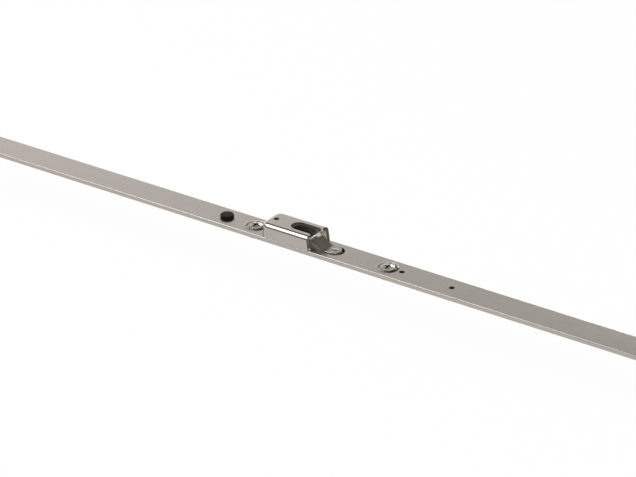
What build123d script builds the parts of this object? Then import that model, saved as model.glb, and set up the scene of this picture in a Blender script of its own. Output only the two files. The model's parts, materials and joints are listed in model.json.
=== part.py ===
from build123d import *
import math
import os

# Window espagnolette, in millimetres.
# X runs along the faceplate, Y across it, Z out of its face.
# The origin is on the faceplate's outer face, on its mid-line, level with the spindle.

# Faceplate
plate_width = 20.0
plate_thick = 3.0
plate_left_length = 95.0
plate_right_margin = 260.0
plate_edge = 0.5
plate_corner = 2.0

# Places along the faceplate, the offsets measured from the middle of the keeper
keeper_x = 290.0
plug_offset = -49.9
left_screw_offset = -28.3
right_screw_offset = 68.2
fixing_offset = 78.1
fixing_pitch = 35.0
case_fixing_pitch = 104.0
end_fixing_inset = 12.0
fixing_r = 1.75

# Rack and pinion under the handle
gear_module = 1.5
gear_teeth = 15
throw_deg = 90.0
pressure_deg = 20.0
pinion_addendum = 1.5
rack_addendum = 1.275
tip_clear = 0.375
tooth_backlash = 0.15
flank_steps = 5
backset = 20.0
spindle_square = 7.1
journal_r = 8.0
journal_clear = 0.05

# Drive rod
rod_width = 12.0
rod_thick = 2.0
rod_gap = 0.15
rod_slot_width = 7.0
rod_left_margin = 8.0
rod_right_margin = 6.0
guide_clear = 0.2
end_clear = 0.4

# Rack
rack_width = 8.0
rack_gaps_left = 1
rack_end = 6.0
rack_screw_clear = 2.0
peg_r = 1.5
peg_offset = 3.6

# Screws and guide nuts
screw_shank_r = 1.95
screw_hole_r = 2.2
thread_r = 2.0
head_r = 4.35
head_rim = 1.3
head_crown = 0.9
dimple_r = 7.3
dimple_floor_r = 5.6
dimple_depth = 1.0
recess_length = 4.8
recess_width = 1.25
recess_depth = 1.3
nut_flange_r = 4.5
nut_flange_thick = 1.2
case_screw_length = 14.0

# Black guide plug
plug_head_r = 4.3
plug_head_height = 1.9
plug_edge = 0.7
plug_hole_clear = 0.1
plug_flange_r = 4.4
plug_flange_thick = 1.1
plug_split = 1.2

# Keeper, a pressed cap with one open end
keeper_left_offset = -18.3
keeper_right_offset = 18.4
keeper_end_turn = 6.5
keeper_end_lean = 8.5
keeper_height = 9.2
keeper_wall = 2.2
keeper_bend = 2.8
keeper_corner = 5.0
keeper_gap = 0.15
keeper_slot_width = 9.6
keeper_slot_offset = -1.1
keeper_mouth_round = 2.0
keeper_hole_offset = -12.8
keeper_hole_r = 1.75
end_wall_lift = 2.0

# Carrier inside the keeper: a low platform, a crest, a solid ramp and a tongue
carrier_width = 9.8
carrier_thick = 2.5
platform_lift = 0.15
platform_left_offset = -5.0
wing_offset = 7.0
ramp_back_offset = 14.0
crest_offset = 16.2
crest_width = 1.1
crest_top = 6.2
crest_round = 0.5
ramp_foot_offset = 24.6
ramp_foot_round = 9.0
tongue_thick = 3.2
tongue_edge = 0.4
tongue_end_offset = 34.2
tongue_gap = 2.1
carrier_slot_width = 11.4

# Rivets and the sleeve under the carrier
rivet_r = 2.0
rivet_head_r = 3.2
rivet_head_height = 1.0
tongue_rivet_inset = 4.1
tongue_head_r = 2.4
tongue_head_height = 0.5
sleeve_offset = 6.0
sleeve_r = 3.5
countersink = 1.2

# Gear case
case_half_length = 43.0
case_foot_half = 29.0
case_shoulder = 11.0
case_inner_half = 6.3
case_wall = 2.0
case_floor_wall = 2.0
case_corner = 4.0
case_clear = 0.8
case_screw_inset = 9.0
handle_pitch = 43.0
handle_hole_r = 3.0
cover_rivet_r = 1.5
cover_rivet_head_r = 2.5
cover_rivet_head = 0.9
cover_rivet_depth = 8.0
upper_rivet_inset = 4.0
upper_rivet_drop = 6.0
lower_rivet_inset = 4.0
lower_rivet_rise = 5.0
bush_wall = 1.6
bush_flange = 1.9
bush_flange_thick = 0.8
bush_side_clear = 0.2

# Worked out from the sizes above
pitch_r = gear_module * gear_teeth / 2
travel = math.radians(throw_deg) * pitch_r
plate_bottom = -plate_thick
rod_top = plate_bottom - rod_gap
rod_bottom = rod_top - rod_thick
flange_top = rod_bottom - rod_gap
guide_r = rod_slot_width / 2 - guide_clear
hub_z = -backset
pitch_z = hub_z + pitch_r
rack_tip_z = pitch_z - rack_addendum
rack_root_z = pitch_z + pinion_addendum + tip_clear
pinion_tip_r = pitch_r + pinion_addendum
pinion_root_r = pitch_r - rack_addendum - tip_clear
circular_pitch = math.pi * gear_module
case_screw_offset = case_half_length - case_screw_inset
rack_room = case_screw_offset - screw_shank_r - rack_screw_clear - rack_end
rack_gaps_right = math.floor(rack_room / circular_pitch)
rack_left = -rack_gaps_left * circular_pitch - rack_end
rack_right = rack_gaps_right * circular_pitch + rack_end

plug_x = keeper_x + plug_offset
left_screw_x = keeper_x + left_screw_offset
right_screw_x = keeper_x + right_screw_offset
near_fixing_x = keeper_x + fixing_offset
far_fixing_x = near_fixing_x + fixing_pitch
plate_left = -plate_left_length
plate_right = keeper_x + plate_right_margin
keeper_left = keeper_x + keeper_left_offset
keeper_right = keeper_x + keeper_right_offset
keeper_past = keeper_right + plate_width
case_fixing_offset = case_fixing_pitch / 2
sleeve_x = keeper_x + sleeve_offset
tongue_end = keeper_x + tongue_end_offset
tongue_rivet_x = tongue_end - tongue_rivet_inset
tongue_top = rod_top + tongue_thick
platform_bottom = platform_lift
platform_top = platform_bottom + carrier_thick
carrier_slot_left = sleeve_x - sleeve_r - travel - end_clear
carrier_slot_right = tongue_end + tongue_gap
channel_floor = rod_bottom - 2 * rod_gap
case_outer_half = case_inner_half + case_wall
pocket_r = pinion_tip_r + case_clear
case_bottom = hub_z - pocket_r - case_floor_wall
shoulder_z = plate_bottom - case_shoulder
bush_outer_r = journal_r + journal_clear + bush_wall
pinion_half = case_inner_half - bush_flange_thick - bush_side_clear


def block(x0, x1, y0, y1, z0, z1):
    """A box between two corners."""
    size = (x1 - x0, y1 - y0, z1 - z0)
    middle = ((x0 + x1) / 2, (y0 + y1) / 2, (z0 + z1) / 2)
    return Pos(*middle) * Box(*size)


def post(x, r, z0, z1, y=0.0):
    """An upright cylinder."""
    return Pos(x, y, (z0 + z1) / 2) * Cylinder(r, z1 - z0)


def crosswise(outline, y0, y1):
    """An outline drawn in X and Z, given its thickness along Y."""
    back = Plane(origin=(0, y1, 0), x_dir=(1, 0, 0), z_dir=(0, -1, 0))
    return extrude(back * outline, y1 - y0, dir=(0, -1, 0))


def axle(x, z, r, y0, y1):
    """A cylinder lying across the faceplate."""
    return crosswise(Pos(x, z) * Circle(r), y0, y1)


def slot(x0, x1, width, z0, z1):
    """A full-round slot along X, as a solid to cut away."""
    outline = Pos((x0 + x1) / 2, 0, z0) * SlotOverall(x1 - x0, width)
    return extrude(outline, z1 - z0)


def turned(points, x):
    """A solid turned about an upright axis from a list of (radius, z) points."""
    half = make_face(Polyline(*[(r, 0, z) for r, z in points], close=True))
    return Pos(x, 0, 0) * revolve(half, Axis.Z)


def screw_places():
    """Where the four screws with dimples stand along the faceplate."""
    return [-case_screw_offset, case_screw_offset, left_screw_x, right_screw_x]


def fixing_places():
    """Where the plain holes for the sash screws stand."""
    beside_case = [-case_fixing_offset, case_fixing_offset]
    return beside_case + [near_fixing_x, far_fixing_x, plate_right - end_fixing_inset]


def faceplate():
    """The flat rail: dimples, screw holes, plug hole, fixing holes and the carrier's slot."""
    plan = Rectangle(plate_right - plate_left, plate_width)
    plan = fillet(plan.vertices(), plate_corner)
    middle = (plate_left + plate_right) / 2
    plate = extrude(Pos(middle, 0, plate_bottom) * plan, plate_thick)
    rims = plate.edges().filter_by(Plane.XY)
    plate = fillet(rims, plate_edge)
    for x in screw_places():
        dimple = [(0, 0), (dimple_r, 0), (dimple_floor_r, -dimple_depth), (0, -dimple_depth)]
        plate -= turned(dimple, x)
        plate -= post(x, screw_hole_r, plate_bottom, 0)
    for x in fixing_places():
        plate -= post(x, fixing_r, plate_bottom, 0)
    plate -= post(plug_x, guide_r + plug_hole_clear, plate_bottom, 0)
    plate -= slot(carrier_slot_left, carrier_slot_right, carrier_slot_width, plate_bottom, 0)
    return plate


def screw(x, length):
    """A raised-head screw with a cross recess, seated on the dimple's floor."""
    seat = -dimple_depth
    rim_z = seat + head_rim
    crown_z = rim_z + head_crown
    crown = ThreePointArc((head_r, 0, rim_z), (head_r * 0.72, 0, rim_z + head_crown * 0.62), (0, 0, crown_z))
    sides = Polyline(
        (0, 0, crown_z),
        (0, 0, seat - length),
        (screw_shank_r, 0, seat - length),
        (screw_shank_r, 0, seat),
        (head_r, 0, seat),
        (head_r, 0, rim_z),
    )
    body = Pos(x, 0, 0) * revolve(make_face(crown + sides), Axis.Z)
    for turn in (45, 135):
        wing = Box(recess_length, recess_width, 2 * recess_depth)
        body -= Pos(x, 0, crown_z) * Rot(0, 0, turn) * wing
    return body


def guide_nut(x):
    """A flanged nut: its neck fills the rod's slot and its flange carries the rod."""
    neck = post(x, guide_r, flange_top, plate_bottom)
    flange = post(x, nut_flange_r, flange_top - nut_flange_thick, flange_top)
    bore = post(x, thread_r, flange_top - nut_flange_thick, plate_bottom)
    return neck + flange - bore


def guide_plug():
    """The black plug: a round head above the faceplate, a split shank and a snap flange."""
    head = post(plug_x, plug_head_r, 0, plug_head_height)
    head = fillet(head.edges().group_by(Axis.Z)[-1], plug_edge)
    shank = post(plug_x, guide_r, flange_top, 0)
    foot = flange_top - plug_flange_thick
    flange = post(plug_x, plug_flange_r, foot, flange_top)
    left, right = plug_x - plug_flange_r, plug_x + plug_flange_r
    split = block(left, right, -plug_split / 2, plug_split / 2, foot, plate_bottom)
    return head + shank + flange - split


def drive_rod():
    """The flat rod under the faceplate, with a slot for whatever stands still inside it."""
    reach = guide_r + end_clear
    screw_reach = fixing_r + end_clear
    first_slot = -case_fixing_offset - screw_reach
    last_slot = near_fixing_x + travel + screw_reach
    left = first_slot - rod_left_margin
    right = last_slot + rod_right_margin
    rod = slot(left, right, rod_width, rod_bottom, rod_top)
    stretches = [
        (first_slot, -case_screw_offset + travel + reach),
        (case_screw_offset - reach, case_fixing_offset + travel + screw_reach),
        (plug_x - reach, left_screw_x + travel + reach),
        (right_screw_x - reach, last_slot),
    ]
    for x0, x1 in stretches:
        rod -= slot(x0, x1, rod_slot_width, rod_bottom, rod_top)
    for x in (sleeve_x, tongue_rivet_x):
        rod -= post(x, rivet_r, rod_bottom, rod_top)
    for x in peg_places():
        rod -= post(x, peg_r, rod_bottom, rod_top)
    return rod


def peg_places():
    """Where the rack's two pegs go up through the rod."""
    first_gap = -rack_gaps_left * circular_pitch
    last_gap = rack_gaps_right * circular_pitch
    return [first_gap - peg_offset, last_gap + peg_offset]


def rack():
    """The toothed strip under the rod, staked to it by two pegs."""
    half_gap = circular_pitch / 4 + tooth_backlash / 2
    slope = math.tan(math.radians(pressure_deg))
    root_half = half_gap - slope * (rack_root_z - pitch_z)
    tip_half = half_gap + slope * (pitch_z - rack_tip_z)
    bar = block(rack_left, rack_right, -rack_width / 2, rack_width / 2, rack_tip_z, rod_bottom)
    for number in range(-rack_gaps_left, rack_gaps_right + 1):
        x = number * circular_pitch
        gap = Polygon(
            (x - root_half, rack_root_z),
            (x + root_half, rack_root_z),
            (x + tip_half, rack_tip_z),
            (x - tip_half, rack_tip_z),
            align=None,
        )
        bar -= crosswise(gap, -rack_width / 2, rack_width / 2)
    for x in peg_places():
        bar += post(x, peg_r, rod_bottom, rod_top)
    return bar


def tooth_outline():
    """One pinion tooth, pointing up: involute flanks above the base circle, radial below."""
    base_r = pitch_r * math.cos(math.radians(pressure_deg))
    half_angle = (math.pi / 2 * gear_module - tooth_backlash) / (2 * pitch_r)
    roll_at_pitch = math.tan(math.radians(pressure_deg)) - math.radians(pressure_deg)
    flank = [(pinion_root_r / 2, half_angle + roll_at_pitch)]
    for step in range(flank_steps + 1):
        r = base_r + (pinion_tip_r - base_r) * step / flank_steps
        pressure = math.acos(base_r / r)
        flank.append((r, half_angle + roll_at_pitch - (math.tan(pressure) - pressure)))
    right = [(r * math.sin(a), r * math.cos(a)) for r, a in flank]
    left = [(-x, z) for x, z in reversed(right)]
    return Polygon(*right, *left, align=None)


def pinion():
    """The handle's hub: teeth all round, a journal on each side and a square hole."""
    outline = Circle(pinion_root_r)
    for number in range(gear_teeth):
        outline += Rot(0, 0, 360 / gear_teeth * number) * tooth_outline()
    gear = crosswise(Pos(0, hub_z) * outline, -pinion_half, pinion_half)
    gear += axle(0, hub_z, journal_r, -case_outer_half, case_outer_half)
    hole = Pos(0, hub_z) * Rectangle(spindle_square, spindle_square)
    return gear - crosswise(hole, -case_outer_half, case_outer_half)


def case_outline():
    """The gear case seen from the side: square shoulders, tapering to a narrower foot."""
    corners = [
        (-case_half_length, plate_bottom),
        (case_half_length, plate_bottom),
        (case_half_length, shoulder_z),
        (case_foot_half, case_bottom),
        (-case_foot_half, case_bottom),
        (-case_half_length, shoulder_z),
    ]
    outline = Polygon(*corners, align=None)
    lower = outline.vertices().sort_by(Axis.Y)[:4]
    return fillet(lower, case_corner)


def cover_rivet_places():
    """Where the rivets hold the cover to the case."""
    upper = shoulder_z + upper_rivet_drop
    lower = case_bottom + lower_rivet_rise
    places = []
    for side in (-1, 1):
        places.append((side * (case_half_length - upper_rivet_inset), upper))
        places.append((side * (case_foot_half - lower_rivet_inset), lower))
    return places


def through_holes(solid, y0, y1):
    """The bores that go through case and cover alike."""
    solid -= axle(0, hub_z, bush_outer_r, y0, y1)
    for side in (-1, 1):
        solid -= axle(side * handle_pitch / 2, hub_z, handle_hole_r, y0, y1)
    return solid


def gear_case():
    """The die-cast case: rod channel, rack channel, gear pocket and two threaded bosses."""
    inner = case_inner_half
    solid = crosswise(case_outline(), -case_outer_half, inner)
    solid -= block(-case_half_length, case_half_length, -inner, inner, channel_floor, plate_bottom)
    swept_left = rack_left - travel - case_clear
    swept_right = rack_right + case_clear
    solid -= block(swept_left, swept_right, -inner, inner, rack_tip_z - case_clear, channel_floor)
    solid -= axle(0, hub_z, pocket_r, -inner, inner)
    solid = through_holes(solid, -case_outer_half, inner)
    for side in (-1, 1):
        x = side * case_screw_offset
        solid += post(x, guide_r, channel_floor, plate_bottom)
        solid -= post(x, thread_r, -dimple_depth - case_screw_length, plate_bottom)
    for x, z in cover_rivet_places():
        solid -= axle(x, z, cover_rivet_r, inner - cover_rivet_depth, inner)
    return solid


def case_cover():
    """The flat cover on the back of the case."""
    y0, y1 = case_inner_half, case_outer_half
    cover = through_holes(crosswise(case_outline(), y0, y1), y0, y1)
    for x, z in cover_rivet_places():
        cover -= axle(x, z, cover_rivet_r, y0, y1)
    return cover


def cover_rivets():
    """Four rivets through the cover into the case."""
    rivets = []
    for x, z in cover_rivet_places():
        shank = axle(x, z, cover_rivet_r, case_inner_half - cover_rivet_depth, case_outer_half)
        head = axle(x, z, cover_rivet_head_r, case_outer_half, case_outer_half + cover_rivet_head)
        rivets.append(shank + head)
    return Compound(rivets)


def hub_bush(side):
    """A plastic bearing ring pressed into the case wall, its flange towards the gear."""
    ys = sorted([side * case_inner_half, side * case_outer_half])
    flange_ys = sorted([side * (case_inner_half - bush_flange_thick), side * case_inner_half])
    ring = axle(0, hub_z, bush_outer_r, *ys)
    ring += axle(0, hub_z, bush_outer_r + bush_flange, *flange_ys)
    return ring - axle(0, hub_z, journal_r + journal_clear, -case_outer_half, case_outer_half)


def pressing(inset):
    """The keeper as a lump, inset by a wall: round left corners and a rolled top edge, no open end yet."""
    half = plate_width / 2 - inset
    left = keeper_left + inset
    plan = Polygon((left, -half), (keeper_past, -half), (keeper_past, half), (left, half), align=None)
    plan = fillet(plan.vertices().group_by(Axis.X)[0], keeper_corner - inset)
    lump = extrude(Pos(0, 0, keeper_gap) * plan, keeper_height - keeper_gap - inset)
    rolled = lump.edges().group_by(Axis.Z)[-1].sort_by(Axis.X)[:-1]
    return fillet(rolled, keeper_bend - inset)


def beyond_open_end():
    """What the open end's plane cuts off: the front wall ends a little short and the top leans back."""
    waste = block(0, 2 * plate_width, -plate_width, plate_width, -plate_width, plate_width)
    tilt = Rot(0, 0, -keeper_end_turn) * Rot(0, -keeper_end_lean, 0)
    return Pos(keeper_right, 0, keeper_gap) * tilt * waste


def mouth_edges(cap):
    """The two upright edges where the keeper's slot meets its open end."""
    found = []
    for edge in cap.edges():
        place = edge.center()
        beside_slot = abs(abs(place.Y) - keeper_slot_width / 2) < keeper_gap
        in_top = keeper_height - keeper_wall + keeper_gap < place.Z < keeper_height - keeper_gap
        if beside_slot and in_top and place.X > keeper_right - plate_width / 2:
            found.append(edge)
    return found


def keeper():
    """The pressed cap: closed at the left, open at the right, slotted along its top."""
    cap = pressing(0) - pressing(keeper_wall)
    top_inside = keeper_height - keeper_wall
    slot_left = keeper_x + keeper_slot_offset
    cap -= slot(slot_left, keeper_past, keeper_slot_width, top_inside, keeper_height)
    cap -= beyond_open_end()
    cap = fillet(mouth_edges(cap), keeper_mouth_round)
    cap -= post(keeper_x + keeper_hole_offset, keeper_hole_r, top_inside, keeper_height)
    inner_half = plate_width / 2 - keeper_wall
    cap -= block(keeper_left, keeper_left + keeper_corner, -inner_half, inner_half, 0, end_wall_lift)
    return cap


def keeper_carrier():
    """The piece that joins the keeper to the rod: platform, crest, solid ramp and round-ended tongue."""
    left = keeper_x + platform_left_offset
    crest_right = keeper_x + crest_offset
    crest_left = crest_right - crest_width
    ramp_back = keeper_x + ramp_back_offset
    side = Polygon(
        (left, platform_top),
        (crest_left, platform_top),
        (crest_left, crest_top),
        (crest_right, crest_top),
        (keeper_x + ramp_foot_offset, tongue_top),
        (tongue_end, tongue_top),
        (tongue_end, rod_top),
        (ramp_back, rod_top),
        (ramp_back, platform_bottom),
        (left, platform_bottom),
        align=None,
    )
    side = fillet(side.vertices().sort_by(Axis.Y)[-2:], crest_round)
    foot = side.vertices().sort_by(lambda corner: abs(corner.X - keeper_x - ramp_foot_offset))[0]
    side = fillet(foot, ramp_foot_round)
    body = crosswise(side, -carrier_width / 2, carrier_width / 2)
    body = body & slot(left - carrier_width, tongue_end, carrier_width, rod_top, crest_top)
    rounded_end = body.edges().sort_by(Axis.X)[-2:].sort_by(Axis.Z)[-1]
    body = fillet(rounded_end, tongue_edge)
    inner_half = plate_width / 2 - keeper_wall
    body += block(left, keeper_x + wing_offset, -inner_half, inner_half, platform_bottom, platform_top)
    sink_r = rivet_r + countersink
    sink = [(0, platform_top), (sink_r, platform_top), (rivet_r, platform_top - countersink)]
    sink += [(rivet_r, platform_bottom), (0, platform_bottom)]
    body -= turned(sink, sleeve_x)
    body -= post(tongue_rivet_x, rivet_r, rod_top, tongue_top)
    return body


def carrier_sleeve():
    """The spacer between the rod and the carrier's platform."""
    sleeve = post(sleeve_x, sleeve_r, rod_top, platform_bottom)
    return sleeve - post(sleeve_x, rivet_r, rod_top, platform_bottom)


def sleeve_rivet():
    """The long rivet: countersunk in the platform, headed under the rod."""
    foot = rod_bottom - rivet_head_height
    points = [(0, platform_top), (rivet_r + countersink, platform_top)]
    points += [(rivet_r, platform_top - countersink), (rivet_r, rod_bottom)]
    points += [(rivet_head_r, rod_bottom), (rivet_head_r, foot), (0, foot)]
    return turned(points, sleeve_x)


def tongue_rivet():
    """The short rivet through the tongue, with a low head inside the faceplate's slot."""
    foot = rod_bottom - rivet_head_height
    top = tongue_top + tongue_head_height
    points = [(0, top), (tongue_head_r - tongue_head_height, top), (tongue_head_r, tongue_top)]
    points += [(rivet_r, tongue_top), (rivet_r, rod_bottom)]
    points += [(rivet_head_r, rod_bottom), (rivet_head_r, foot), (0, foot)]
    return turned(points, tongue_rivet_x)


def guide_screw_length():
    """From the dimple's floor to the foot of the guide nut."""
    return -dimple_depth - (flange_top - nut_flange_thick)


nodes = {
    "faceplate": faceplate(),
    "gear_case": gear_case(),
    "case_cover": case_cover(),
    "cover_rivets": cover_rivets(),
    "case_screw_left": screw(-case_screw_offset, case_screw_length),
    "case_screw_right": screw(case_screw_offset, case_screw_length),
    "hub_bush_front": hub_bush(-1),
    "hub_bush_back": hub_bush(1),
    "guide_screw_left": screw(left_screw_x, guide_screw_length()),
    "guide_screw_right": screw(right_screw_x, guide_screw_length()),
    "guide_nut_left": guide_nut(left_screw_x),
    "guide_nut_right": guide_nut(right_screw_x),
    "guide_plug": guide_plug(),
    "pinion": pinion(),
    "drive_rod": drive_rod(),
    "rack": rack(),
    "keeper": keeper(),
    "keeper_carrier": keeper_carrier(),
    "carrier_sleeve": carrier_sleeve(),
    "sleeve_rivet": sleeve_rivet(),
    "tongue_rivet": tongue_rivet(),
}

os.makedirs("parts", exist_ok=True)
for name, solid in nodes.items():
    export_step(solid, f"parts/{name}.step")
print(f"travel {travel:.3f} mm, spindle to keeper {keeper_x:.1f} mm")
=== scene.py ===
# %% [markdown]
# # A window espagnolette, dressed for its portrait
# The real object is a long satin-plated steel faceplate. A keeper slides on it, and under it lie a
# drive rod and a gear case. The solids come from the CAD frame, so this file adds what CAD leaves
# out: the studio, the finishes, and small worked pieces such as screw recesses and a torn crest.
# X runs along the faceplate, Y across it, Z out of its face. Lengths are metres, and in the worked
# pieces they are millimetres until the points are made.

# %% Load the frame
import json
import math

import bpy
import numpy as np
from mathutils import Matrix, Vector


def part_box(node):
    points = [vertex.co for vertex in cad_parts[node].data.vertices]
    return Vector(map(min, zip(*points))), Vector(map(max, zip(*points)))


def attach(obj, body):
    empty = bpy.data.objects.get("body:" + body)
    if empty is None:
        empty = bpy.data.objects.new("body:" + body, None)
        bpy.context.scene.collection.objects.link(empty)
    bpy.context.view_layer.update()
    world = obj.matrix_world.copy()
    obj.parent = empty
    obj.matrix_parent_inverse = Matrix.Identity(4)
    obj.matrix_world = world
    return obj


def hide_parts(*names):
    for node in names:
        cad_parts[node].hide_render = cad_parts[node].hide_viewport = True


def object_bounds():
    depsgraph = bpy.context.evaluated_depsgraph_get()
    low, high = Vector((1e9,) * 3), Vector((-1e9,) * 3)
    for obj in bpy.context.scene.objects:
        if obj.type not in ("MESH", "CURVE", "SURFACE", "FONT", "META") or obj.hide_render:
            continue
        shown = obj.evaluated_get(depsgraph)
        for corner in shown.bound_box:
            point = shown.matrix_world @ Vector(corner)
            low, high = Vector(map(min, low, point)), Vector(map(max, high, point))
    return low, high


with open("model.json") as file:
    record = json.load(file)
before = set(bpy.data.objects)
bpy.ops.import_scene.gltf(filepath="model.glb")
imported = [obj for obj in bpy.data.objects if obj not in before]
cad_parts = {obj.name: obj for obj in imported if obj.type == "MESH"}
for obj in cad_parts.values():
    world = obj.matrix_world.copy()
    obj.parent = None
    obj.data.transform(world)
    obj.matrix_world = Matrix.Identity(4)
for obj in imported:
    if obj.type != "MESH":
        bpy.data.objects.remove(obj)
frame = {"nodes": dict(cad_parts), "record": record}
cad_low, cad_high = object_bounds()
nodes = frame["nodes"]
print("nodes:", len(nodes), "length in mm:", round((cad_high.x - cad_low.x) * 1000))

# %% [markdown]
# ## The camera
# The photograph is a long-lens product shot from the front right and a little above. The viewing
# angles were worked out from the faceplate's parallel edges, which is steadier than guessing them
# by eye. The lens is long, so the far end is hardly smaller than the near one. The camera is slid
# up along its own frame instead of using lens shift, so that other views need no correction.

# %% Camera
azimuth, elevation = math.radians(34.6), math.radians(27.2)
back = Vector((
    math.sin(azimuth) * math.cos(elevation),
    -math.cos(azimuth) * math.cos(elevation),
    math.sin(elevation),
))
right = Vector((math.cos(azimuth), math.sin(azimuth), 0))
up = back.cross(right)
aim = Vector((0.3081, 0, 0))
distance, slide_up, slide_left = 1.849, 0.00427, 0.0003

camera_data = bpy.data.cameras.new("camera")
camera_data.sensor_width = 36.0
camera_data.lens = 173.8
camera_data.clip_end = 60
camera = bpy.data.objects.new("camera", camera_data)
camera.rotation_mode = "QUATERNION"
camera.rotation_quaternion = (-back).to_track_quat("-Z", "Y")
camera.location = aim + back * distance + up * slide_up - right * slide_left
bpy.context.collection.objects.link(camera)
bpy.context.scene.camera = camera
bpy.context.scene.view_settings.view_transform = "Standard"
print("camera at", [round(v, 3) for v in camera.location])

# %% [markdown]
# ## The studio
# Plated metal shows its surroundings more than its own colour, so the room matters. The backdrop
# is bright near the horizon and falls off upwards, and the ceiling is dim. A large soft box hangs
# to the left. The keeper's front bend sweeps through all of them, which gives the white strip
# between two dark lines. A wide, weak lamp in front keeps the inside of the keeper readable, and a
# small one behind puts the glints on the dimples. A world that depends only on direction does the
# rest without extra objects.

# %% Node helpers
def add(tree, kind, **values):
    """A new shader node with some of its properties and inputs set."""
    node = tree.nodes.new(kind)
    for key, value in values.items():
        if key in node.inputs:
            node.inputs[key].default_value = value
        else:
            setattr(node, key, value)
    return node


def feed(tree, socket, value):
    """Links an output to an input, or sets the input to a number or colour."""
    if isinstance(value, bpy.types.NodeSocket):
        tree.links.new(value, socket)
    else:
        socket.default_value = value


def ramp(tree, factor, stops):
    """A colour ramp through (place, brightness or colour) stops, fed by a factor."""
    node = add(tree, "ShaderNodeValToRGB")
    points = node.color_ramp.elements
    while len(points) < len(stops):
        points.new(0.5)
    for point, (place, tone) in zip(points, stops):
        point.position = place
        point.color = (tone, tone, tone, 1) if isinstance(tone, (int, float)) else (*tone, 1)
    tree.links.new(factor, node.inputs["Fac"])
    return node.outputs["Color"]


def maths(tree, operation, *values):
    """One Math node on sockets or numbers."""
    node = add(tree, "ShaderNodeMath", operation=operation)
    for socket, value in zip(node.inputs, values):
        feed(tree, socket, value)
    return node.outputs[0]


def mixed(tree, factor, first, second, data_type="RGBA", blend_type="MIX"):
    """Two colours or two numbers, mixed or blended by a factor."""
    node = add(tree, "ShaderNodeMix", data_type=data_type, blend_type=blend_type)
    for label, value in (("Factor", factor), ("A", first), ("B", second)):
        feed(tree, node.inputs[label], value)
    return node.outputs["Result"]


def put_out(tree, share, first, second, output):
    """Two shaders mixed by a share and linked to the tree's output."""
    choice = add(tree, "ShaderNodeMixShader")
    for socket, value in zip(choice.inputs, (share, first.outputs[0], second.outputs[0])):
        tree.links.new(value, socket)
    tree.links.new(choice.outputs[0], add(tree, output).inputs["Surface"])


print("node helpers:", [made.__name__ for made in (add, feed, ramp, maths, mixed, put_out)])

# %% World: the backdrop fades upwards, the front is dim
world = bpy.data.worlds.new("studio")
bpy.context.scene.world = world
world.use_nodes = True
tree = world.node_tree
tree.nodes.clear()
direction = add(tree, "ShaderNodeTexCoord").outputs["Generated"]
parts = add(tree, "ShaderNodeSeparateXYZ")
tree.links.new(direction, parts.inputs[0])
sideways, depth, height = (
    maths(tree, "MULTIPLY_ADD", parts.outputs[axis], 0.5, 0.5) for axis in "XYZ"
)
behind = ramp(tree, height, [
    (0.0, 0.5), (0.5, 0.56), (0.63, 0.56), (0.68, 0.55), (0.727, 0.39),
    (0.775, 0.12), (0.93, 0.04), (0.965, 0.24), (1.0, 0.32),
])
ahead = ramp(tree, height, [
    (0.0, 0.55), (0.46, 0.3), (0.54, 0.06), (0.62, 0.07), (0.93, 0.12), (1.0, 0.32),
])
print("nodes for the two fades:", len(tree.nodes))

# %% World: paler behind on the right, brighter on the left
# In the photograph's view the flat faces mirror the left part of the backdrop. The right part is
# pale up high too, so that the faceplate keeps its satin look from the front and above.
pale = ramp(tree, sideways, [(0.36, 0.0), (0.50, 0.42)])
lifted = mixed(tree, 1.0, behind, pale, blend_type="LIGHTEN")
room = mixed(tree, ramp(tree, depth, [(0.40, 0.0), (0.60, 1.0)]), ahead, lifted)
leftward = ramp(tree, sideways, [(0.14, 0.98), (0.247, 0.86), (0.33, 0.50), (0.6, 0.50)])
shaded = mixed(tree, 1.0, room, leftward, blend_type="MULTIPLY")
room_strength = 2.9
lit = add(tree, "ShaderNodeBackground", Strength=room_strength)
tree.links.new(shaded, lit.inputs["Color"])
plain = add(tree, "ShaderNodeBackground", Color=(1, 1, 1, 1), Strength=1.0)
rays = add(tree, "ShaderNodeLightPath").outputs
put_out(tree, rays["Is Camera Ray"], lit, plain, "ShaderNodeOutputWorld")
print("world nodes:", len(tree.nodes))

# %% Lamps
def soft_box(name, direction, distance, size, watts):
    """A rectangular area lamp that looks at the keeper from a direction."""
    lamp = bpy.data.lights.new(name, "AREA")
    lamp.shape = "RECTANGLE"
    lamp.size, lamp.size_y = size
    lamp.energy = watts
    thing = bpy.data.objects.new(name, lamp)
    direction = Vector(direction).normalized()
    thing.location = aim + direction * distance
    thing.rotation_mode = "QUATERNION"
    thing.rotation_quaternion = direction.to_track_quat("Z", "Y")
    bpy.context.collection.objects.link(thing)
    return thing


lamps = [
    soft_box("soft_box", (-0.55, -0.35, 0.76), 2.2, (1.5, 1.7), 30),
    soft_box("front_fill", (0.60, -0.60, 0.52), 2.6, (2.4, 2.4), 27),
    soft_box("glint", (-0.33, 0.91, 0.24), 2.2, (0.3, 0.3), 2.4),
]
print("lamps:", [lamp.name for lamp in lamps])

# %% [markdown]
# ## The floor
# The photograph stands on pure white. The floor is a plain pale surface that takes shadows, and
# for rays that come from the camera or from a mirror-like surface most of it is white light of
# strength 1, so the picture stays white without more light on the object.

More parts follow.
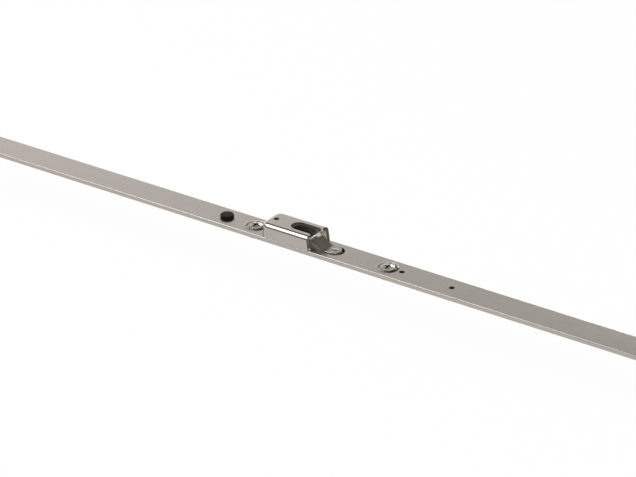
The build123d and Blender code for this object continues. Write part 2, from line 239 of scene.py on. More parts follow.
# %% Floor
def floor_material(white_share):
    """Pale diffuse paint, of which a share is plain white for camera, mirror and clear rays."""
    material = bpy.data.materials.new("floor")
    material.use_nodes = True
    tree = material.node_tree
    tree.nodes.clear()
    paint = add(tree, "ShaderNodeBsdfDiffuse", Color=(0.9, 0.9, 0.9, 1))
    glow = add(tree, "ShaderNodeEmission", Color=(1, 1, 1, 1), Strength=1.0)
    rays = add(tree, "ShaderNodeLightPath").outputs
    seen = maths(tree, "MAXIMUM", rays["Is Camera Ray"], rays["Is Glossy Ray"])
    seen = maths(tree, "MAXIMUM", seen, rays["Is Transmission Ray"])
    share = maths(tree, "MULTIPLY", seen, white_share)
    put_out(tree, share, paint, glow, "ShaderNodeOutputMaterial")
    return material


half_side, centre_x, gap_below = 4.0, 0.3, 0.0005
floor_z = cad_low.z - gap_below
corners = [
    (centre_x + half_side * x, half_side * y, floor_z)
    for x, y in ((-1, -1), (1, -1), (1, 1), (-1, 1))
]
floor_mesh = bpy.data.meshes.new("floor")
floor_mesh.from_pydata(corners, [], [(0, 1, 2, 3)])
floor_mesh.materials.append(floor_material(0.96))
floor = bpy.data.objects.new("floor", floor_mesh)
bpy.context.collection.objects.link(floor)
print("floor at", round(floor_z * 1000, 1), "mm")

# %% [markdown]
# ## Effects shared by several finishes
# Three effects come back in many finishes, so each is a node group with named inputs. Rolled strip
# has fine lines along its length. Plating has soft blotches. Cast and moulded surfaces have a fine
# tooth. Groups only put out values, and the shader stays in the material.

# %% Groups: rolled grain, blotches and fine tooth
def new_group(name, inputs, output):
    """A shader node group with (name, kind, value) inputs and one float output."""
    group = bpy.data.node_groups.new(name, "ShaderNodeTree")
    for label, kind, value in inputs:
        socket = group.interface.new_socket(label, in_out="INPUT", socket_type=kind)
        if value is not None:
            socket.default_value = value
    group.interface.new_socket(output, in_out="OUTPUT", socket_type="NodeSocketFloat")
    return group, group.nodes.new("NodeGroupInput").outputs, group.nodes.new("NodeGroupOutput")


def noise_of(tree, vector, scale, detail, roughness=0.5):
    """A noise value at a vector times a scale."""
    node = add(tree, "ShaderNodeTexNoise", Detail=detail, Roughness=roughness)
    feed(tree, node.inputs["Scale"], scale)
    feed(tree, node.inputs["Vector"], vector)
    return node.outputs["Fac"]


def rolled_grain():
    """Lines along X: noise whose X is squeezed by 0.012, so that each speck becomes a line."""
    group, given, sink = new_group(
        "rolled_grain",
        [("Vector", "NodeSocketVector", None), ("Fineness", "NodeSocketFloat", 5000.0)],
        "Lines",
    )
    squeeze = add(group, "ShaderNodeVectorMath", operation="MULTIPLY")
    squeeze.inputs[1].default_value = (0.012, 1.0, 1.0)
    group.links.new(given["Vector"], squeeze.inputs[0])
    lines = noise_of(group, squeeze.outputs[0], given["Fineness"], 3.0, 0.6)
    group.links.new(lines, sink.inputs["Lines"])
    return group


def blotches():
    """Two sizes of soft noise, averaged: cloudy plating and its six times finer mottling."""
    group, given, sink = new_group(
        "blotches",
        [("Vector", "NodeSocketVector", None), ("Size", "NodeSocketFloat", 70.0)],
        "Cloud",
    )
    large = noise_of(group, given["Vector"], given["Size"], 2.0)
    finer = maths(group, "MULTIPLY", given["Size"], 6.0)
    small = noise_of(group, given["Vector"], finer, 3.0)
    both = maths(group, "MULTIPLY", maths(group, "ADD", large, small), 0.5)
    group.links.new(both, sink.inputs["Cloud"])
    return group


def fine_tooth():
    """Small pits and grains: a fine noise with its dips pulled down by a power."""
    group, given, sink = new_group(
        "fine_tooth",
        [("Vector", "NodeSocketVector", None), ("Fineness", "NodeSocketFloat", 1800.0)],
        "Grain",
    )
    grain = noise_of(group, given["Vector"], given["Fineness"], 4.0, 0.6)
    group.links.new(maths(group, "POWER", grain, 1.6), sink.inputs["Grain"])
    return group


grain_group, cloud_group, tooth_group = rolled_grain(), blotches(), fine_tooth()
print("groups:", [g.name for g in bpy.data.node_groups])

# %% [markdown]
# ## Finishes
# Each metal is a Principled shader, mostly at full Metallic. Its colour is what the photograph
# shows under a white room, and the groups move the colour and the roughness a little. A very small
# bump gives the lines their glint. Plain numbers, the same all over, are set on the shader's own
# sockets.

# %% Material builder
cloud_part, surface_part = 0.65, 0.35  # shares of the blotches and of the grain or tooth
bump_height = 0.0001


def finish(
    name, colour, spread, roughness, wander, bump,
    grain=None, tooth=None, metallic=1.0, cloud=70.0,
):
    """A finish whose colour and roughness wander with the blotches, with grain or tooth as bump.

    The mixed noise stays mostly between 0.3 and 0.7, so the colour and the roughness go from one
    end of their range to the other over about that stretch.
    """
    material = bpy.data.materials.new(name)
    material.use_nodes = True
    tree = material.node_tree
    shader = tree.nodes["Principled BSDF"]
    shader.inputs["Metallic"].default_value = metallic
    place = add(tree, "ShaderNodeTexCoord").outputs["Object"]
    clouds = add(tree, "ShaderNodeGroup", node_tree=cloud_group, Size=cloud)
    group, fineness = (grain_group, grain) if grain else (tooth_group, tooth)
    surface = add(tree, "ShaderNodeGroup", node_tree=group, Fineness=fineness)
    for node in (clouds, surface):
        tree.links.new(place, node.inputs["Vector"])
    broad = maths(tree, "MULTIPLY", clouds.outputs[0], cloud_part)
    fine = maths(tree, "MULTIPLY", surface.outputs[0], surface_part)
    value = maths(tree, "ADD", broad, fine)
    relief = add(tree, "ShaderNodeBump", Strength=bump, Distance=bump_height)
    tree.links.new(surface.outputs[0], relief.inputs["Height"])
    tree.links.new(relief.outputs["Normal"], shader.inputs["Normal"])
    dark = tuple(max(0.0, c * (1 - spread)) for c in colour)
    light = tuple(min(1.0, c * (1 + spread)) for c in colour)
    tree.links.new(ramp(tree, value, [(0.32, dark), (0.68, light)]), shader.inputs["Base Color"])
    rough = add(tree, "ShaderNodeMapRange")
    for label, number in (
        ("From Min", 0.3), ("From Max", 0.7),
        ("To Min", roughness - wander), ("To Max", roughness + wander),
    ):
        rough.inputs[label].default_value = number
    tree.links.new(value, rough.inputs["Value"])
    tree.links.new(rough.outputs["Result"], shader.inputs["Roughness"])
    return material


print("finish builder reads:", cloud_group.name, grain_group.name, tooth_group.name)

# %% [markdown]
# ## Where a finish changes, and where light and shade are painted
# The punched bores are painted near black as painted shade, and made rough. The keeper's open end
# was sheared through the sheet, which leaves a greyer face. Its back part and its outer edge are
# painted dark as painted shade, and one bright toe at its foot is a painted highlight. The walls of
# the slot in the keeper's top are painted dark as painted shade too. The inside of the pressing is
# matt, and towards the open end it is painted near white: a painted pool of light. Such a place
# could be a separate mesh, but one finish with a mask keeps the skin whole. The mask is 1 between
# two limits of a value, and one group makes it for every finish that needs it.

# %% Group: soft band
def soft_band():
    """1 from Low to High, 0 beyond Softness on either side: two clamped slopes, multiplied."""
    group, given, sink = new_group(
        "soft_band",
        [
            ("Value", "NodeSocketFloat", 0.0), ("Low", "NodeSocketFloat", 0.0),
            ("High", "NodeSocketFloat", 1.0), ("Softness", "NodeSocketFloat", 0.1),
        ],
        "Mask",
    )
    slopes = []
    for more, less in (("Value", "Low"), ("High", "Value")):
        gap = maths(group, "SUBTRACT", given[more], given[less])
        slope = maths(group, "ADD", maths(group, "DIVIDE", gap, given["Softness"]), 1.0)
        slope.node.use_clamp = True
        slopes.append(slope)
    group.links.new(maths(group, "MULTIPLY", *slopes), sink.inputs["Mask"])
    return group


band_group = soft_band()
print("mask group:", band_group.name, "with", len(band_group.nodes), "nodes")

# %% Mask helpers
def band(tree, value, low, high, soft):
    """The soft band of a value, as a mask in one material."""
    node = add(tree, "ShaderNodeGroup", node_tree=band_group, Low=low, High=high, Softness=soft)
    tree.links.new(value, node.inputs["Value"])
    return node.outputs["Mask"]


def overlap(tree, *masks):
    """The product of masks: 1 where all of them are."""
    product, *others = masks
    for mask in others:
        product = maths(tree, "MULTIPLY", product, mask)
    return product


def places(tree):
    """The object coordinates as sockets x, y, z and whole, and the normal."""
    source = add(tree, "ShaderNodeTexCoord").outputs
    split = add(tree, "ShaderNodeSeparateXYZ")
    tree.links.new(source["Object"], split.inputs[0])
    axes = {axis.lower(): split.outputs[axis] for axis in "XYZ"}
    return {**axes, "whole": source["Object"], "normal": source["Normal"]}


def block(tree, at, **limits):
    """A mask that is 1 inside (low, high, softness) limits on each named axis."""
    return overlap(tree, *(band(tree, at[axis], *limit) for axis, limit in limits.items()))


def where_masked(material, mask, colour, roughness, metallic):
    """Changes colour, roughness and metallic of a finish where a mask is 1."""
    tree = material.node_tree
    for label, target, kind in (
        ("Base Color", (*colour, 1), "RGBA"),
        ("Roughness", roughness, "FLOAT"),
        ("Metallic", metallic, "FLOAT"),
    ):
        socket = tree.nodes["Principled BSDF"].inputs[label]
        before = socket.links[0].from_socket if socket.is_linked else socket.default_value
        tree.links.new(mixed(tree, mask, before, target, data_type=kind), socket)


print("mask helpers:", [made.__name__ for made in (band, overlap, places, block, where_masked)])

# %% Faceplate and keeper finishes
plated = (0.44, 0.402, 0.362)


def faceplate_finish():
    """Plated strip whose punched bores are painted near black as painted shade, and made rough.

    A punched hole is where the surface stands upright and is well inside the strip's long edges.
    """
    material = finish("plated_faceplate", plated, 0.05, 0.24, 0.03, 0.12, grain=4500)
    tree = material.node_tree
    at = places(tree)
    facing = add(tree, "ShaderNodeSeparateXYZ")
    tree.links.new(at["normal"], facing.inputs[0])
    upright = band(tree, facing.outputs["Z"], -0.4, 0.4, 0.1)
    # Painted shade: the punched bores are painted near black, where they look dark.
    bore_shade_paint = overlap(tree, upright, band(tree, at["y"], -0.0023, 0.0023, 0.0001))
    where_masked(material, bore_shade_paint, (0.035, 0.032, 0.03), 0.6, 0.6)
    return material


def keeper_finish():
    """Plated pressing: sheared open end, matt inside, and light and shade painted in places.

    The sheared face is the plane that cuts the pressing, found as a dot product with its normal.
    The places are laid over each other in order, so a later one covers an earlier one.
    """
    material = finish("plated_keeper", plated, 0.05, 0.18, 0.02, 0.08, grain=4500)
    tree = material.node_tree
    at = places(tree)
    inside = block(
        tree, at,
        z=(-0.01, 0.00702, 0.0001), y=(-0.00782, 0.00782, 0.0001), x=(0.2738, 0.32, 0.0001),
    )
    # Painted light: towards the open end the inside is painted near white, a painted pool of light.
    open_end_light_paint = overlap(tree, inside, band(tree, at["x"], 0.303, 0.32, 0.003))
    # Painted shade: the walls of the slot in the keeper's top are painted dark.
    slot_wall_shade_paint = block(
        tree, at,
        z=(0.0071, 0.0087, 0.0001), y=(-0.0050, 0.0050, 0.0001), x=(0.2738, 0.3062, 0.0006),
    )
    along_cut = add(tree, "ShaderNodeVectorMath", operation="DOT_PRODUCT")
    along_cut.inputs[1].default_value = (0.9827, -0.1120, 0.1478)
    tree.links.new(at["whole"], along_cut.inputs[0])
    plane_at = 0.30309
    sheared = band(tree, along_cut.outputs["Value"], plane_at - 0.0001, 0.31, 0.00004)
    # Painted shade: the back wall's part of the cut face is painted near black.
    back_end_shade_paint = overlap(tree, sheared, band(tree, at["y"], 0.006, 0.011, 0.001))
    # Painted shade: a near-black line along the cut face's top and front outer edges.
    upper = band(tree, at["z"], 0.0084, 0.01, 0.0002)
    front = band(tree, at["y"], -0.011, -0.0094, 0.0002)
    cut_edge_shade_paint = overlap(tree, sheared, maths(tree, "MAXIMUM", upper, front))
    # Painted highlight: the foot of the front wall's cut face is marked for a bright spot.
    foot = block(tree, at, z=(-0.001, 0.0013, 0.0001), y=(-0.0093, -0.0070, 0.0001))
    for mask, colour, roughness, metallic in (
        (inside, (0.24, 0.228, 0.19), 0.46, 0.45),
        # painted light: near-white paint inside the open end
        (open_end_light_paint, (0.95, 0.93, 0.80), 0.40, 0.10),
        # painted shade on the slot's walls
        (slot_wall_shade_paint, (0.14, 0.13, 0.11), 0.5, 0.3),
        (sheared, (0.28, 0.26, 0.23), 0.38, 0.8),
        # painted shade on the back wall's cut face
        (back_end_shade_paint, (0.08, 0.075, 0.065), 0.42, 0.8),
        # painted shade along the cut face's outer edges
        (cut_edge_shade_paint, (0.04, 0.037, 0.032), 0.5, 0.8),
        # painted highlight: near-white spot at the front wall's foot
        (overlap(tree, sheared, foot), (0.9, 0.88, 0.82), 0.35, 0.3),
    ):
        where_masked(material, mask, colour, roughness, metallic)
    return material


made_to_measure = {"faceplate": faceplate_finish(), "keeper": keeper_finish()}
print("finishes with masks:", sorted(made_to_measure))

# %% Finishes of this object
# Each line gives the colour, its spread, the roughness, how far that wanders, and the bump.
recipes = {
    "plated_steel": (plated, 0.05, 0.24, 0.03, 0.12, {"grain": 4500}),
    "carrier_steel": (
        (0.135, 0.123, 0.10), 0.18, 0.38, 0.06, 0.35,
        {"grain": 2600, "metallic": 0.8, "cloud": 240},
    ),
    "cast_zinc": ((0.42, 0.42, 0.41), 0.10, 0.46, 0.06, 0.45, {"tooth": 2200, "cloud": 60}),
    "cover_steel": ((0.47, 0.455, 0.425), 0.06, 0.30, 0.04, 0.15, {"grain": 3600}),
    "rivet_steel": ((0.44, 0.42, 0.385), 0.12, 0.34, 0.05, 0.15, {"tooth": 1500, "cloud": 300}),
    "screw_steel": (
        (0.70, 0.66, 0.585), 0.10, 0.25, 0.05, 0.12,
        {"tooth": 1500, "metallic": 0.85, "cloud": 350},
    ),
    "bush_plastic": ((0.62, 0.60, 0.53), 0.05, 0.45, 0.05, 0.12, {"tooth": 1600, "metallic": 0.0}),
    "black_plastic": (
        (0.016, 0.011, 0.007), 0.35, 0.42, 0.08, 0.5,
        {"tooth": 1500, "metallic": 0.0, "cloud": 420},
    ),
    "sintered_steel": ((0.24, 0.235, 0.225), 0.16, 0.40, 0.06, 0.5, {"tooth": 3000, "cloud": 180}),
    "rod_steel": ((0.45, 0.43, 0.40), 0.08, 0.30, 0.05, 0.2, {"grain": 3200}),
}
finishes = {name: finish(name, *plain, **named) for name, (*plain, named) in recipes.items()}
for part in frame["record"]["subparts"]:
    name = part["node"]
    for holder in nodes[name].material_slots:
        holder.material = made_to_measure.get(name, finishes[part["material_slot"]])
matt = finishes["black_plastic"].node_tree.nodes["Principled BSDF"]
matt.inputs["Specular IOR Level"].default_value = 0.06
print("finishes:", len(finishes))

# %% [markdown]
# ## Screws
# The real screws have a raised head with a cross recess that tapers to a point. Cutting it with
# solids would leave knife edges. Here the whole screw is one surface of revolution on a grid, and
# the recess is a smooth dent that depends on the distance from two crossed lines.

# %% Grid meshes
MM = 0.001
full_turn = np.linspace(0, 2 * math.pi, 120, endpoint=False)


def piece(name, points, faces, slot, body, *replaced):
    """A smooth-shaded piece from points and faces, in its finish, riding on its body."""
    mesh = bpy.data.meshes.new(name)
    mesh.from_pydata(np.asarray(points).tolist(), [], faces)
    mesh.polygons.foreach_set("use_smooth", np.ones(len(mesh.polygons), dtype=bool))
    mesh.materials.append(finishes[slot])
    mesh.update()
    thing = bpy.data.objects.new(name, mesh)
    bpy.context.collection.objects.link(thing)
    if replaced:
        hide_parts(*replaced)
    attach(thing, body)
    print(name, len(mesh.vertices), "points")
    return thing


def once(rows):
    """Rows laid end to end, where the first and the last row are poles and count once each."""
    return np.concatenate([rows[0, :1], rows[1:-1].reshape(-1, *rows.shape[2:]), rows[-1, :1]])


def capped(rows):
    """Points and faces of a closed skin from rows of points; the first and last rows are poles.

    rows has the shape (n, m, 3), and rows 0 and n-1 hold one repeated point each. Faces run
    between neighbouring rows, and the last column joins the first.
    """
    count, around = rows.shape[:2]
    points = once(rows)
    ring = 1 + np.arange((count - 2) * around).reshape(count - 2, around)
    turned = np.roll(ring, -1, axis=1)
    quads = np.stack([ring[:-1], ring[1:], turned[1:], turned[:-1]], axis=-1).reshape(-1, 4)
    top = np.stack([np.zeros(around, int), ring[0], turned[0]], axis=-1)
    bottom = np.stack([np.full(around, len(points) - 1), turned[-1], ring[-1]], axis=-1)
    return points, top.tolist() + quads.tolist() + bottom.tolist()


def looped(rows):
    """Points and faces of a ring: rows join the first row again, and so do the columns."""
    count, around = rows.shape[:2]
    grid = np.arange(count * around).reshape(count, around)
    below, beside = np.roll(grid, -1, axis=0), np.roll(grid, -1, axis=1)
    corner = np.roll(below, -1, axis=1)
    quads = np.stack([grid, below, corner, beside], axis=-1).reshape(-1, 4)
    return rows.reshape(-1, 3), quads.tolist()


def mark(thing, name, values):
    """A number for each point, for its material to read."""
    numbers = values.ravel().astype(np.float32)
    thing.data.attributes.new(name, "FLOAT", "POINT").data.foreach_set("value", numbers)


print("mesh helpers:", [made.__name__ for made in (piece, once, capped, looped, mark)])

# %% Shape helpers
def box_mm(name):
    """Lowest corner, highest corner and middle of a node's box, in mm."""
    low, high = (np.array(corner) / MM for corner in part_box(name))
    return low, high, (low + high) / 2


def along(points, step):
    """Points spread evenly, at most a step apart, along straight runs between the given points."""
    out = [points[0]]
    for a, b in zip(points, points[1:]):
        pieces = max(1, int(math.ceil(math.dist(a, b) / step)))
        out += [tuple(np.add(a, np.subtract(b, a) * k / pieces)) for k in range(1, pieces + 1)]
    return np.array(out)


def spun(profile):
    """Grids of radius and height: a profile of (radius, height), repeated for each angle."""
    r = np.repeat(profile[:, :1], len(full_turn), axis=1)
    z = np.repeat(profile[:, 1:], len(full_turn), axis=1)
    return r, z


def smooth(t):
    """A smooth step: t held between 0 and 1, then three squares less two cubes."""
    t = np.clip(t, 0, 1)
    return t * t * (3 - 2 * t)


print("shape helpers:", [made.__name__ for made in (box_mm, along, spun, smooth)])

# %% The four screws
head_r, head_high, dome_rise, rim_high = 4.35, 2.2, 0.9, 1.3
shank_r, pitch, thread_depth = 1.95, 0.7, 0.3
recess_long, recess_wide, recess_deep, recess_turn = 5.8, 1.55, 1.8, math.radians(7)
side_soft, end_soft = 0.16, 0.3


def cross_dent(x, y):
    """Depth of a tapered cross recess at x, y: two smooth grooves at right angles, the deeper wins.

    Each groove falls off with a smooth step at its sides and its ends. It gets narrower and
    shallower away from the middle.
    """
    c, s = math.cos(recess_turn), math.sin(recess_turn)
    u, v = c * x + s * y, -s * x + c * y
    dents = []
    for lengthwise, across in ((u, v), (v, u)):
        out = np.abs(lengthwise) / (recess_long / 2)
        half = recess_wide / 2 * (1.15 - 0.35 * out)
        side = smooth((half - np.abs(across)) / side_soft + 0.5)
        end = smooth((recess_long / 2 - np.abs(lengthwise)) / end_soft + 0.5)
        dents.append(recess_deep * (1 - 0.5 * np.clip(out, 0, 1)) * side * end)
    return np.maximum(*dents)


def screw(name):
    """A raised-head screw in a node's box: dome, rounded rim, flat seat and threaded shank.

    The radius and height follow a profile, whose small offsets soften its corners. The thread
    takes a triangle wave of height and angle off the shank's radius.
    """
    low_corner, high_corner, middle = box_mm(name)
    tip, crown = low_corner[2], high_corner[2]
    seat = crown - head_high
    rim = seat + rim_high
    sphere = (head_r ** 2 + dome_rise ** 2) / (2 * dome_rise)
    dome_r = np.linspace(0, head_r - 0.12, 46)
    dome = np.stack([dome_r, crown - sphere + np.sqrt(sphere ** 2 - dome_r ** 2)], axis=1)
    edge = np.array([(head_r - 0.03, rim + 0.03), (head_r, rim - 0.06)])
    rest = along([
        (head_r, rim - 0.1), (head_r, seat + 0.05), (head_r - 0.05, seat), (shank_r, seat),
        (shank_r, tip + 0.3), (shank_r - 0.3, tip), (0, tip),
    ], 0.16)
    profile = np.vstack([dome, edge, rest])
    r, z = spun(profile)
    on_shank = (np.abs(r - shank_r) < 0.01) & (z < seat - 0.2) & (z > tip + 0.3)
    thread = np.abs(((z / pitch + full_turn / (2 * math.pi)) % 1.0) - 0.5) * 2
    r = np.where(on_shank, r - thread_depth * thread, r)
    x, y = r * np.cos(full_turn), r * np.sin(full_turn)
    on_head = np.arange(len(profile))[:, None] < len(dome)
    dent = np.where(on_head, cross_dent(x, y), 0)
    rows = np.stack([x + middle[0], y + middle[1], z - dent], axis=-1)
    points, faces = capped(rows * MM)
    finished = name.replace("screw", "screw_finished")
    thing = piece(finished, points, faces, "screw_steel", "frame", name)
    # Painted shade on one side of the head starts 0.6 mm left of its middle and is full 1.2 mm
    # further on.
    side_shade_paint = np.where(on_head, np.clip((-0.99 * x - 0.14 * y - 0.6) / 1.2, 0, 1), 0)
    mark(thing, "recess", once(np.maximum(dent / dent.max(), (0.1 + 0.12 * side_shade_paint) * (side_shade_paint > 0))))


screws = ("case_screw_left", "case_screw_right", "guide_screw_left", "guide_screw_right")
for name in screws:
    screw(name)

# %% [markdown]
# ## Painted shade in the recesses
# The recess is painted nearly black: painted shade. The depth of the dent is known at every point
# of the head, so it is kept as an attribute and read as a mask. A little of it lies on one side of
# the head too, as painted shade on that side. A
# little of it lies on one side of the head too, where the driver has not rubbed it bright.

# %% Painted shade in the recesses
material = finishes["screw_steel"]
dent_depth = add(material.node_tree, "ShaderNodeAttribute", attribute_name="recess")
recess_shade_paint = band(material.node_tree, dent_depth.outputs["Fac"], 0.35, 2.0, 0.25)
# Painted shade: the recess, and one side of the head a little, are painted nearly black.
where_masked(material, recess_shade_paint, (0.06, 0.055, 0.045), 0.5, 0.8)
print("recess mask on", material.name)

# %% [markdown]
# ## Rolled rims of the dimples
# The dimples are pressed, not cut, so the strip's surface swells a little round each of them before
# it dives. A ring with the cross-section of a low wave does this: it rises from the slope of the
# dimple to a rounded crest and runs out on the flat. The crest is a circle that sits half a
# millimetre off the screw, away from the near right, where the photograph shows the dimple
# smaller. There the crest is also higher, and its slope is painted near black as painted shade; an
# attribute marks that arc. The rise is painted darker all round as well, more so on the near side,
# also as painted shade. The left guide screw's ring has no such swell, because the keeper passes
# over it.

# %% Dimple rims
rim_finish = finish("plated_rim", plated, 0.05, 0.26, 0.03, 0.12, grain=4500)
# Painted shade: where the ring is marked, it is painted near black.
rim_shade_node = add(rim_finish.node_tree, "ShaderNodeAttribute", attribute_name="painted_rim_shade")
where_masked(rim_finish, rim_shade_node.outputs["Fac"], (0.018, 0.015, 0.012), 0.5, 0.9)

near_right, swell_to = 345, 100  # degrees from X, and degrees to either side of that
crest_r, off_screw, outer_r = 6.15, 0.5, 7.5
rise_wide, rise_deep, fall_wide, level_high = 0.6, 1.03, 0.75, 0.03
black_to, black_soft, dull_to, dull_soft = 52, 14, 100, 30  # degrees again


def dimple_rim(name, height, swell):
    """A ring round a screw: rows of (radius, height), one closed loop at each angle.

    The loop rises as a quarter sine to a crest, falls as half a cosine, and runs out level. The
    crest's radius gets less by the cosine of the angle from the near right side, and the crest
    gets higher there by swell.
    """
    around = np.linspace(0, 2 * math.pi, 160, endpoint=False)
    turned = np.abs((np.degrees(around) - near_right + 180) % 360 - 180)
    crest = crest_r - off_screw * np.cos(np.radians(turned))
    high = height + swell * (0.5 + 0.5 * np.cos(np.clip(turned / swell_to, 0, 1) * math.pi))
    level = min(level_high, height)
    flat = np.zeros_like(crest)
    t = np.linspace(0, 1, 12)[:, None]
    quarter_sine, half_cosine = np.sin(t * math.pi / 2), 0.5 + 0.5 * np.cos(t[1:] * math.pi)
    toe = crest + fall_wide
    runs = (
        (crest - rise_wide + rise_wide * t, -rise_deep + (rise_deep + high) * quarter_sine),
        (crest + fall_wide * t[1:], level + (high - level) * half_cosine),
        (toe + (outer_r - toe) * t[4::4], level * (1 - t[4::4]) + flat),
        ([outer_r + flat, outer_r - 0.3 + flat, crest - 0.45], [[-0.06], [-0.16], [-1.07]] + flat),
    )
    r, z = (np.vstack(grids) for grids in zip(*runs))
    screw_x = box_mm(name)[2][0]
    rows = np.stack([r * np.cos(around) + screw_x, r * np.sin(around), z], axis=-1)
    points, faces = looped(rows * MM)
    rim = piece(name.replace("screw", "dimple_rim"), points, faces, "plated_steel", "frame")
    rim.data.materials[0] = rim_finish
    # Painted shade: darker on the whole rise, more so on the near side, and black over the crest at
    # the near right.
    crest_row, run_row = 11, 23
    rim_shade_paint = np.zeros(r.shape)
    rim_shade_paint[:crest_row + 1] = 0.1 + 0.45 * np.clip((dull_to - turned) / dull_soft, 0, 1)
    over = rim_shade_paint[crest_row:run_row]
    rim_shade_paint[crest_row:run_row] = np.maximum(over, np.clip((black_to - turned) / black_soft, 0, 1))
    mark(rim, "painted_rim_shade", rim_shade_paint)


rims = {
    "case_screw_left": (0.05, 0.30), "case_screw_right": (0.05, 0.30),
    "guide_screw_left": (0.10, 0.0), "guide_screw_right": (0.05, 0.34),
}
for name, (height, swell) in rims.items():
    dimple_rim(name, height, swell)

# %% [markdown]
# ## The keeper's carrier
# On the real object this is one thick piece: a platform inside the keeper, a raised crest, a ramp
# and a round tongue that is riveted to the rod. Its edges are tumbled soft, and its crest is torn
# and carries a painted highlight. It is worked out as a height over the plan: each station along X
# is one row of points that runs across the top, down one side, back under and up again. Near the
# outline the height drops by a quarter circle, which gives the soft edge all the way round the
# tongue.

# %% Carrier: its plain shape
keeper_x = 290.0
tongue_top, crest_top, platform_top, rod_top = 0.7, 6.2, 2.62, -3.15
wings_end, plate_end, crest_start, ramp_start, round_start = 7.0, 14.0, 15.08, 16.0, 29.3
wing_half, strip_half = 7.8, 4.9


def carrier_stations():
    """Places along X from the keeper's own zero, closer together where the shape turns."""
    tip = strip_half * np.sin(np.linspace(0, 1.0, 40) * math.pi / 2)
    return np.concatenate([
        np.linspace(-5, 6.98, 26), np.linspace(7.02, 13.98, 14), np.linspace(14.02, 15.08, 5),
        np.linspace(15.1, 15.3, 6), np.linspace(15.35, 16.5, 14), np.linspace(16.6, 29.3, 64)[:-1],
        round_start + tip[:-1],
    ])


def carrier_plan(x):
    """Top, bottom and half width at each station: platform, climb, crest, ramp and round tongue.

    The ramp is nearly straight, and a smooth foot leads it over into the tongue.
    """
    run = np.clip((x - ramp_start) / 9.6, 0, 1)
    ramp_down = crest_top + (tongue_top - crest_top) * (1.08 * run - 0.08 * run ** 6)
    foot = 1 / (1 + np.exp(-(x - 24.6) / 0.55))
    ramp_z = ramp_down * (1 - foot) + tongue_top * foot
    climb = np.clip((x - crest_start) / 0.25, 0, 1)
    raised = platform_top + (crest_top - platform_top) * np.sin(climb * math.pi / 2)
    top = np.where(x < ramp_start, raised, ramp_z)
    bottom = np.where(x < plate_end, 0.15, rod_top)
    half = np.where(x < wings_end, wing_half, strip_half)
    round_half = np.sqrt(np.maximum(strip_half ** 2 - (x - round_start) ** 2, 0))
    return top, bottom, np.where(x > round_start, round_half, half)


print("carrier stations:", len(carrier_stations()))

# %% Carrier: soft edges and torn crest
edge_r = 0.45
lip_x, lip_half, lip_soft, burr_high = 15.75, 0.3, 0.3, 0.5
across = np.sin(np.linspace(-1, 1, 61) * math.pi / 2)


def carrier_top(x, top, half):
    """The top's y, its height with soft edges and torn crest, and how strongly the crest and its
    flap are painted bright as a painted highlight.

    The height drops by a quarter circle towards the outline. A burr of random height runs along
    the crest, and on its right part a flap of metal leans over it.
    """
    y = half * across
    in_tongue = strip_half - np.hypot(x - round_start, y)
    inset = np.where(x > round_start, in_tongue, half - np.abs(y))
    soft = np.clip(edge_r - inset, 0, edge_r)
    drop = edge_r - np.sqrt(edge_r ** 2 - soft ** 2)
    torn = np.random.default_rng(5).uniform(0.1, 1, 23)
    right_part = smooth((y + 0.2) / 1.2)
    off_lip = np.maximum(np.abs(x - lip_x) - lip_half, 0)
    lip = np.exp(-(off_lip / lip_soft) ** 2)
    burr = np.interp(across, np.linspace(-1, 1, 23), torn) * lip * (1 - 0.7 * right_part)
    z = top - drop + burr_high * burr
    flap = crest_top + 0.40 - 0.25 * (x - 15.6) - 0.1 * (y - 0.2) + 0.05 * np.sin(7 * y)
    pad = np.clip((x - 15.2) / 0.4, 0, 1) * np.clip((17.9 - x) / 0.7, 0, 1)
    pad = pad * right_part * np.clip((inset - 0.3) / 0.5, 0, 1)
    # Painted highlight: how much of the torn crest and its flap is painted near white.
    bright = np.clip(np.maximum(lip * 1.3 - 0.2, 1.2 * pad), 0, 1)
    return y, z + pad * np.clip(flap - z, 0, 1), bright


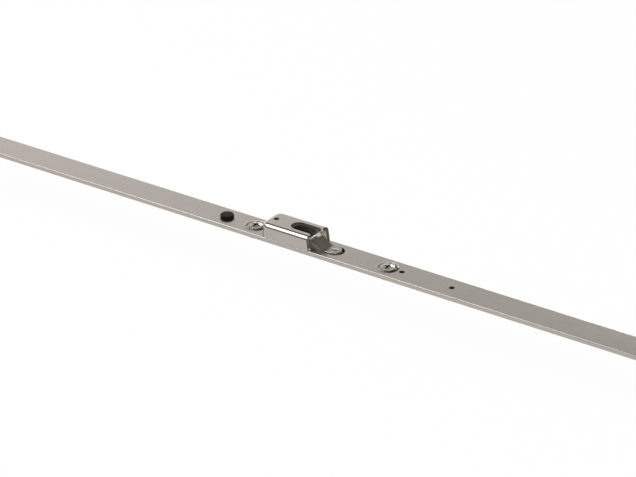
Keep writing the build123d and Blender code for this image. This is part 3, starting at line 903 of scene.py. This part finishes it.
def carrier_rows():
    """Rows of points, one closed section at each station, and the marks of the bare places and of
    the painted highlight.

    A section runs across the top, down the right side, back under and up the left side. The
    first and the last row are poles in the middle of the two ends.
    """
    x = carrier_stations()[:, None]
    top, low, half = carrier_plan(x)
    y, z, bright = carrier_top(x, top, half)
    down, back_under = np.linspace(0, 1, 6)[1:], np.linspace(1, -1, 9)[1:]
    section = np.concatenate([
        np.stack([y, z], axis=-1),
        np.stack([half + 0 * down, z[:, -1:] + (low - z[:, -1:]) * down], axis=-1),
        np.stack([half * back_under, low + 0 * back_under], axis=-1),
        np.stack([-half + 0 * down[:-1], low + (z[:, :1] - low) * down[:-1]], axis=-1),
    ], axis=1)
    rows = np.concatenate([np.repeat(x[..., None], section.shape[1], axis=1), section], axis=-1)
    first = np.repeat(rows[:1].mean(axis=1, keepdims=True), rows.shape[1], axis=1)
    tip = [[[round_start + strip_half, 0, (tongue_top + rod_top) / 2]]]
    rows = np.concatenate([first, rows, np.repeat(tip, rows.shape[1], axis=1)], axis=0)
    rows[..., 0] += keeper_x
    marks = {name: np.zeros(rows.shape[:2]) for name in ("torn", "side", "rubbed")}
    count = len(across)
    marks["torn"][1:-1, :count] = bright
    marks["side"][1:-1, count:count + len(down)] = 1
    marks["side"][1:-1, 1 - len(down):] = 1
    marks["rubbed"][1:-1, :count] = np.clip((x - 25.2) / 2, 0, 1)
    return rows * MM, marks


rows, marks = carrier_rows()
points, faces = capped(rows)
carrier = piece("carrier_finished", points, faces, "carrier_steel", "slider", "keeper_carrier")
for name, values in marks.items():
    mark(carrier, name, once(values))

# %% [markdown]
# ## The carrier's bare places and painted highlight
# Its sides are sheared and its tongue is rubbed smooth. Its crest is torn, and it is painted near
# white as a painted highlight. Each station of the grid knows which of these it belongs to, so
# three attributes carry them to the finish.

# %% Torn crest with painted highlight, rubbed tongue and sheared sides
material = finishes["carrier_steel"]
for name, colour, roughness, metallic in (
    ("side", (0.35, 0.32, 0.28), 0.5, 0.45),
    ("rubbed", (0.38, 0.355, 0.31), 0.3, 0.9),
    # painted highlight: the torn crest is painted near white
    ("torn", (0.82, 0.80, 0.75), 0.3, 0.35),
):
    mask = add(material.node_tree, "ShaderNodeAttribute", attribute_name=name)
    where_masked(material, mask.outputs["Fac"], colour, roughness, metallic)
print("carrier marks:", sorted(marks))

# %% [markdown]
# ## The tongue's rivet
# The rivet that shows beside the slot has a low hammered dome. It is a profile turned about its
# axis: a quarter of an ellipse for the dome, then the shank, and the second head under the rod.

# %% Tongue rivet
low_corner, _, middle = box_mm("tongue_rivet")
foot, brim = low_corner[2], tongue_top - 0.1
dome_r, dome_high, stem_r, foot_r, foot_high = 2.3, 0.45, 2.0, 3.2, 1.0
quarter = np.linspace(0, 1, 24) * math.pi / 2
dome = np.stack([dome_r * np.sin(quarter), brim + dome_high * np.cos(quarter)], axis=1)
stem = along([
    (dome_r, brim), (stem_r, brim), (stem_r, foot + foot_high), (foot_r, foot + foot_high),
    (foot_r, foot + 0.15), (foot_r - 0.15, foot), (0, foot),
], 0.4)
r, z = spun(np.vstack([dome, stem[1:]]))
rows = np.stack([r * np.cos(full_turn) + middle[0], r * np.sin(full_turn), z], axis=-1)
points, faces = capped(rows * MM)
piece("tongue_rivet_finished", points, faces, "rivet_steel", "slider", "tongue_rivet")
